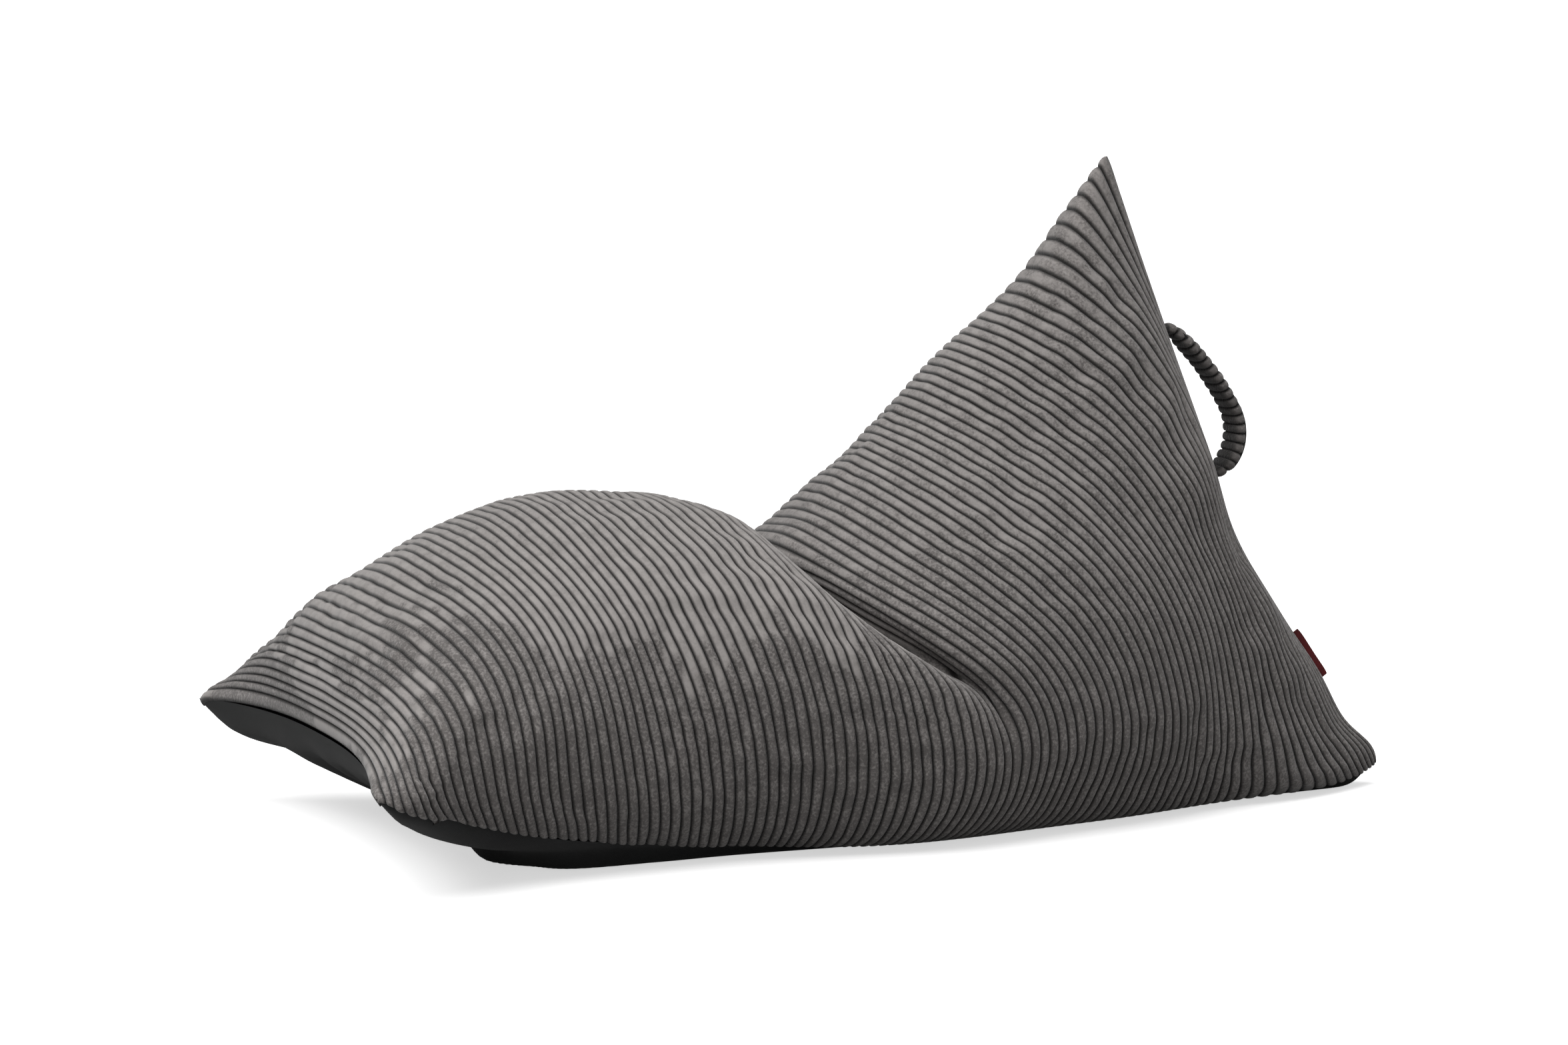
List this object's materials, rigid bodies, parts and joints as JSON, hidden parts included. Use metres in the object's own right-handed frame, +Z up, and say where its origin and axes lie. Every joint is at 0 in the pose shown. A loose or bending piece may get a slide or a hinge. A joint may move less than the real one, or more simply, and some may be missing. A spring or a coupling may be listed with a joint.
{
  "type": "bean bag chair",
  "caption": "Lounger bean bag in wide-rib corduroy with a peaked backrest, low seat, dark base panel, carry handle, side label and zipped bead liner.",
  "frame": {"origin": "on the floor, at the middle of the bag's footprint box", "axes": "+Z up; +Y from the seat's front edge to the rear tip of the backrest; +X across the bag"},
  "size_m": [0.838, 1.4, 0.79],
  "materials": {
    "corduroy": "wide-rib corduroy, warm taupe grey, brushed pile",
    "base_cloth": "smooth tightly woven polyester, charcoal black",
    "liner_cloth": "plain white non-woven liner cloth",
    "beads": "loose expanded polystyrene beads",
    "zip_tape": "black woven zip tape",
    "zip_teeth": "black nylon coil",
    "zip_metal": "black lacquered zinc",
    "webbing": "black polypropylene webbing",
    "label_cloth": "dark red damask-woven ribbon, blank"
  },
  "bodies": {
    "root": {"cover_upper": "corduroy", "base_panel_left": "base_cloth", "base_panel_right": "base_cloth", "liner_upper": "liner_cloth", "liner_base": "liner_cloth", "bead_fill": "beads", "outer_zip_tape_left": "zip_tape", "outer_zip_tape_right": "zip_tape", "outer_zip_teeth_left": "zip_teeth", "outer_zip_teeth_right": "zip_teeth", "outer_zip_stops": "zip_metal", "liner_zip_tape_left": "zip_tape", "liner_zip_tape_right": "zip_tape", "liner_zip_teeth_left": "zip_teeth", "liner_zip_teeth_right": "zip_teeth", "liner_zip_stops": "zip_metal", "handle_seam_tabs": "webbing", "label_seam_tab": "label_cloth"},
    "handle": {"handle_sleeve": "corduroy", "handle_webbing": "webbing"},
    "label": {"label_tag": "label_cloth"},
    "outer_zip_slider": {"outer_zip_slider": "zip_metal"},
    "outer_zip_pull": {"outer_zip_pull": "zip_metal"},
    "liner_zip_slider": {"liner_zip_slider": "zip_metal"}
  },
  "joints": [
    {"name": "handle_swing", "type": "hinge", "parent": "root", "child": "handle", "pos_m": [0, 0.41009, 0.57725], "axis": [0, 0.3781, -0.9257], "range_deg": [-40, 40]},
    {"name": "label_flap", "type": "hinge", "parent": "root", "child": "label", "pos_m": [0, 0.583, 0.19474], "axis": [0, 0.523, -0.8524], "range_deg": [-45, 45]},
    {"name": "outer_zip_slide", "type": "slide", "parent": "root", "child": "outer_zip_slider", "axis": [0, -1, 0], "range_m": [0, 0.542]},
    {"name": "zip_pull_hinge", "type": "hinge", "parent": "outer_zip_slider", "child": "outer_zip_pull", "pos_m": [0, 0.2676, 0.0033], "axis": [1, 0, 0], "range_deg": [0, 150]},
    {"name": "liner_zip_slide", "type": "slide", "parent": "root", "child": "liner_zip_slider", "axis": [0, -1, 0], "range_m": [0, 0.322]}
  ]
}
